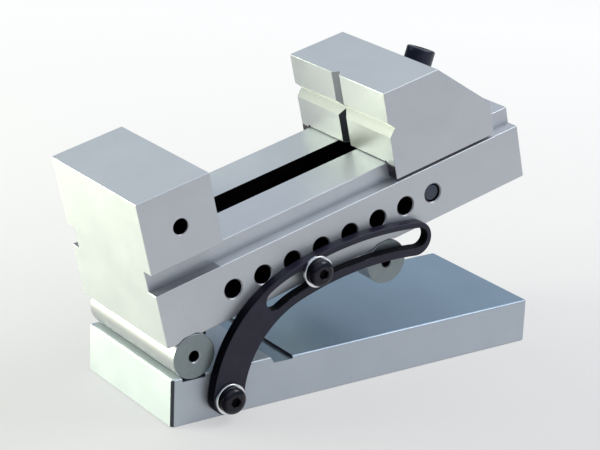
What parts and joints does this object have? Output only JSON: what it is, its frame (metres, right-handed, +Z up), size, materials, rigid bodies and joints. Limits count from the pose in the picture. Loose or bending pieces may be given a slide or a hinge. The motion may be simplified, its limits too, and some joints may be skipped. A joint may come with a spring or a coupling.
{
  "type": "sine vise",
  "caption": "Ground steel sine vise tilted on two rolls over a base plate, with a slotted black lock arm, cross-pin clamping and a sliding jaw.",
  "frame": {"origin": "centre of the base plate's underside", "axes": "+X along the base away from the hinge roll, +Y towards the side without the lock arm, +Z up, normal to the base"},
  "size_m": [0.2083, 0.0817, 0.1377],
  "materials": {
    "ground_steel": "fine surface-ground, satin",
    "base_steel": "fine surface-ground, satin",
    "roll_steel": "hardened and cylindrically ground, faced ends",
    "black_arm": "black oxide on steel plate, semi-matt",
    "black_screws": "oiled black oxide, glossy",
    "bright_washers": "bright plated"
  },
  "bodies": {
    "base": {"base_plate": "base_steel", "hinge_link": "black_arm", "hinge_link_screw": "black_screws", "arm_pivot_washer": "bright_washers", "arm_pivot_bush": "bright_washers"},
    "vise": {"vise_body": "ground_steel", "hinge_roll": "roll_steel", "hinge_axle": "roll_steel", "sine_roll": "roll_steel", "hinge_roll_screw_front": "black_screws", "hinge_roll_screw_back": "black_screws", "sine_roll_screw_front": "black_screws", "sine_roll_screw_back": "black_screws", "arm_lock_washer": "bright_washers"},
    "jaw": {"movable_jaw": "ground_steel", "spherical_washer": "bright_washers", "spherical_seat": "bright_washers"},
    "clamp": {"clamp_screw": "black_screws"},
    "hook": {"pull_hook": "black_arm"},
    "pin": {"cross_pin": "roll_steel"},
    "arm": {"lock_arm": "black_arm"},
    "arm_pivot": {"arm_pivot_screw": "black_screws"},
    "arm_lock": {"arm_lock_screw": "black_screws"}
  },
  "joints": [
    {"name": "tilt", "type": "hinge", "parent": "base", "child": "vise", "pos_m": [-0.0845, 0, 0.03], "axis": [0, -1, 0], "range_deg": [-13.7, 31.1]},
    {"name": "arm_swing", "type": "hinge", "parent": "base", "child": "arm", "pos_m": [-0.0703, -0.0378, 0.01015], "axis": [0, -1, 0], "range_deg": [-14.9, 33.8]},
    {"name": "jaw_slide", "type": "slide", "parent": "vise", "child": "jaw", "axis": [0.9708, 0, 0.24], "range_m": [-0.0877, 0]},
    {"name": "clamp_screw_turn", "type": "hinge", "parent": "jaw", "child": "clamp", "pos_m": [0.03574, 0, 0.08156], "axis": [0.2943, 0, 0.9557], "range_deg": [0, 720]},
    {"name": "hook_release", "type": "slide", "parent": "jaw", "child": "hook", "axis": [-0.2943, 0, -0.9557], "range_m": [0, 0.0025]},
    {"name": "pin_slide", "type": "slide", "parent": "vise", "child": "pin", "axis": [0, 1, 0], "range_m": [0, 0.045]},
    {"name": "pivot_screw_turn", "type": "hinge", "parent": "base", "child": "arm_pivot", "pos_m": [-0.0703, -0.0424, 0.01015], "axis": [0, -1, 0], "range_deg": [0, 180]},
    {"name": "lock_screw_turn", "type": "hinge", "parent": "vise", "child": "arm_lock", "pos_m": [-0.02828, -0.0424, 0.05925], "axis": [0, -1, 0], "range_deg": [0, 180]}
  ],
  "couplings": [
    {"joint": "arm_swing", "follows": "tilt", "ratio": 1.084},
    {"joint": "hook_release", "follows": "clamp_screw_turn", "m_per_rad": 0.00019894}
  ]
}
